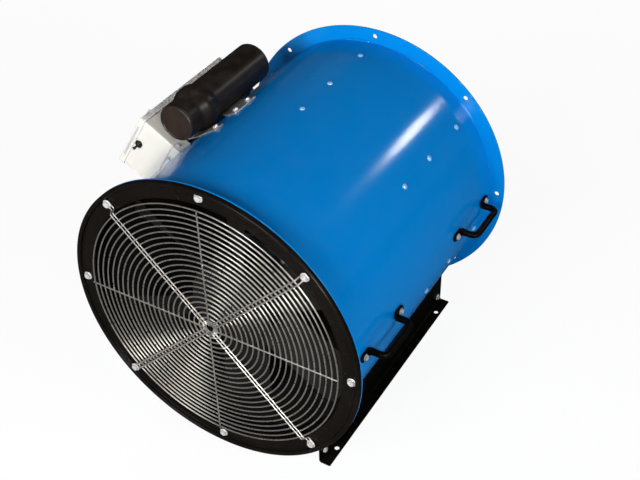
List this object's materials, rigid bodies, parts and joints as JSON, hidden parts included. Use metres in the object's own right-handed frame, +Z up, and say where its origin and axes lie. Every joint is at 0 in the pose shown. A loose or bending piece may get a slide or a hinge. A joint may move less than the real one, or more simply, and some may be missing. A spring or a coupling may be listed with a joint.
{
  "type": "in-line axial fan",
  "caption": "In-line tube axial fan with a flanged steel shell, wire inlet guard, bolted base rails, lift handles, a motor control box and a capacitor housing.",
  "frame": {"origin": "on the floor, under the middle of the bounding box", "axes": "+Z up, +Y along the air stream from the guarded inlet to the outlet, +X to the right seen from the inlet"},
  "size_m": [0.7372, 0.6976, 0.694],
  "materials": {
    "blue_shell": "glossy powder coat",
    "black_ring": "semi-gloss black paint",
    "guard_zinc": "zinc-plated wire, satin",
    "zinc_hardware": "zinc-plated, satin",
    "motor_grey": "satin enamel",
    "copper_winding": "varnished winding and laminated core",
    "bearing_steel": "ground steel",
    "cast_alloy": "drawn can, dull",
    "dark_impeller": "casting with a dark satin coat",
    "black_interior": "dull black coat",
    "black_base": "semi-gloss black paint",
    "cream_box": "smooth cream paint",
    "black_plastic": "satin black",
    "switch_nut_black": "black oxide",
    "terminal_brass": "bare brass",
    "galvanised": "galvanised sheet, spangled"
  },
  "bodies": {
    "fan_body": {"fan_housing": "blue_shell", "inlet_flange": "blue_shell", "outlet_flange": "blue_shell", "motor_sleeve": "black_interior", "straightening_vane_1": "black_interior", "straightening_vane_2": "black_interior", "straightening_vane_3": "black_interior", "straightening_vane_4": "black_interior", "straightening_vane_5": "black_interior", "straightening_vane_6": "black_interior", "straightening_vane_7": "black_interior", "inlet_venturi": "black_ring", "inlet_guard": "guard_zinc", "guard_bolt_1": "zinc_hardware", "guard_bolt_2": "zinc_hardware", "guard_bolt_3": "zinc_hardware", "guard_bolt_4": "zinc_hardware", "guard_bolt_5": "zinc_hardware", "guard_bolt_6": "zinc_hardware", "guard_bolt_7": "zinc_hardware", "guard_bolt_8": "zinc_hardware", "hinge_pin": "zinc_hardware", "conduit_locknut": "zinc_hardware", "motor_frame": "motor_grey", "front_end_bell": "motor_grey", "rear_end_bell": "motor_grey", "stator_core": "copper_winding", "front_bearing": "bearing_steel", "rear_bearing": "bearing_steel", "run_capacitor": "cast_alloy", "base_rail_right": "black_base", "base_rail_left": "black_base", "handle_front_right": "black_base", "handle_rear_right": "black_base", "handle_front_left": "black_base", "handle_rear_left": "black_base", "control_box": "cream_box", "switch_body": "black_plastic", "contactor": "black_plastic", "capacitor_tube": "black_plastic", "capacitor_plug": "black_plastic", "switch_nut": "switch_nut_black", "terminal_block": "terminal_brass", "mounting_strap_front": "galvanised", "mounting_strap_rear": "galvanised", "lead_conduit": "galvanised"},
    "impeller": {"impeller_hub": "dark_impeller", "fan_blade_1": "dark_impeller", "fan_blade_2": "dark_impeller", "fan_blade_3": "dark_impeller", "fan_blade_4": "dark_impeller", "fan_blade_5": "dark_impeller", "fan_blade_6": "dark_impeller", "hub_bolt": "zinc_hardware", "motor_shaft": "bearing_steel", "rotor_core": "bearing_steel"},
    "cover": {"control_cover": "cream_box", "cover_screw_1": "zinc_hardware", "cover_screw_2": "zinc_hardware"},
    "lever": {"switch_lever": "black_plastic"}
  },
  "joints": [
    {"name": "impeller_spin", "type": "hinge", "parent": "fan_body", "child": "impeller", "pos_m": [0.01686, 0, 0.356], "axis": [0, 1, 0], "continuous": true},
    {"name": "cover_swing", "type": "hinge", "parent": "fan_body", "child": "cover", "pos_m": [-0.35905, 0, 0.48761], "axis": [0, -1, 0], "range_deg": [0, 110]},
    {"name": "switch_throw", "type": "hinge", "parent": "fan_body", "child": "lever", "pos_m": [-0.30423, -0.1165, 0.55943], "axis": [-0.8572, 0, 0.515], "range_deg": [0, 24]}
  ]
}
